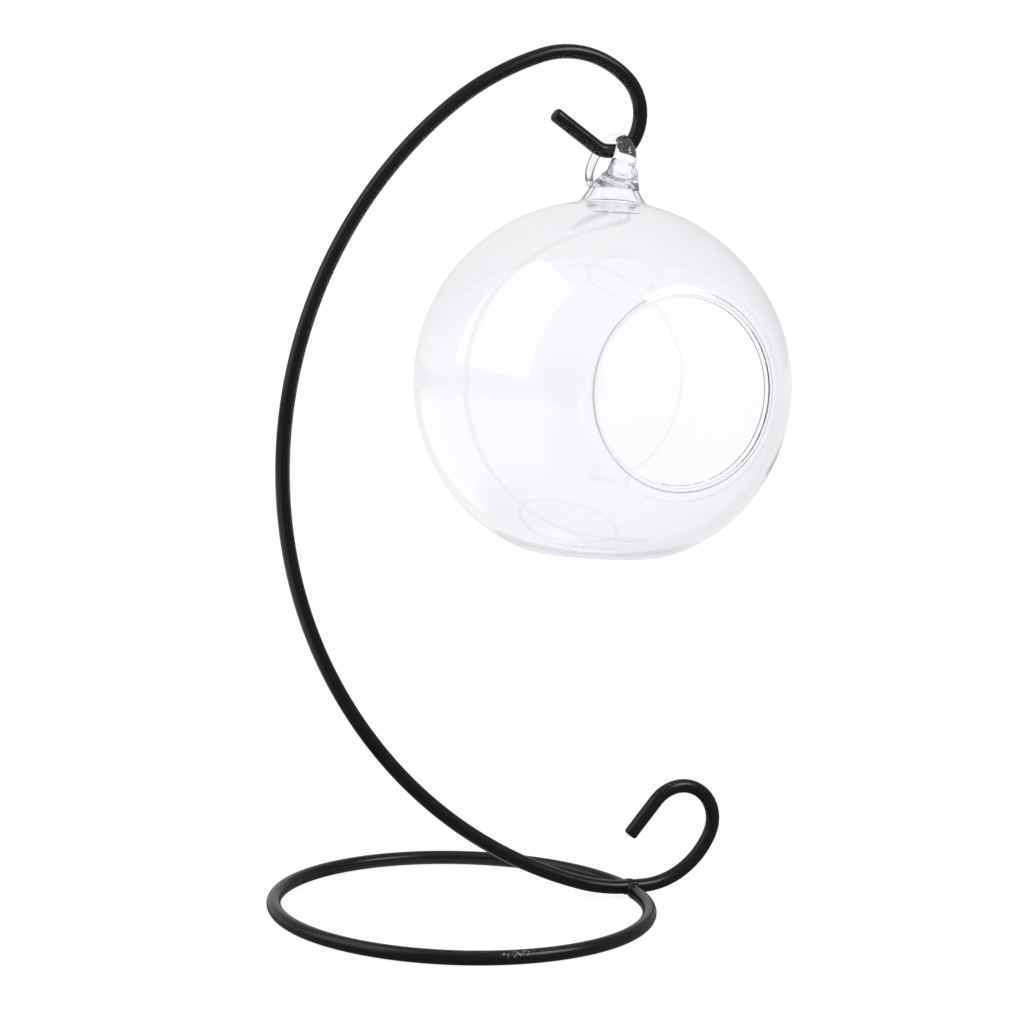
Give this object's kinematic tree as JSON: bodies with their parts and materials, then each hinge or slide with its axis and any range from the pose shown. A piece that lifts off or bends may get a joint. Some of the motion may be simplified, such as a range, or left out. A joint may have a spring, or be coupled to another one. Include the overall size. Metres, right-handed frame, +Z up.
{
  "type": "air plant holder",
  "caption": "Clear glass globe with a round side mouth, hanging by its drawn loop from the hook of a bent black wire stand on a ring base.",
  "frame": {"origin": "centre of the base ring, on the plane that the ring stands on", "axes": "+Z up; +X in the plane of the bent arm, from the ring's centre towards the scroll; the globe's mouth faces -Y"},
  "size_m": [0.1398, 0.104, 0.2299],
  "materials": {
    "black_wire": "satin black powder coat on steel wire",
    "clear_glass": "clear blown glass, fire polished"
  },
  "bodies": {
    "stand": {"base_ring": "black_wire", "stand_arm": "black_wire", "weld_beads": "black_wire"},
    "globe": {"glass_globe": "clear_glass", "hanging_loop": "clear_glass"}
  },
  "joints": [
    {"name": "globe_swing", "type": "hinge", "parent": "stand", "child": "globe", "pos_m": [0.03713, 0, 0.20248], "axis": [1, 0, 0], "range_deg": [-45, 45]}
  ]
}
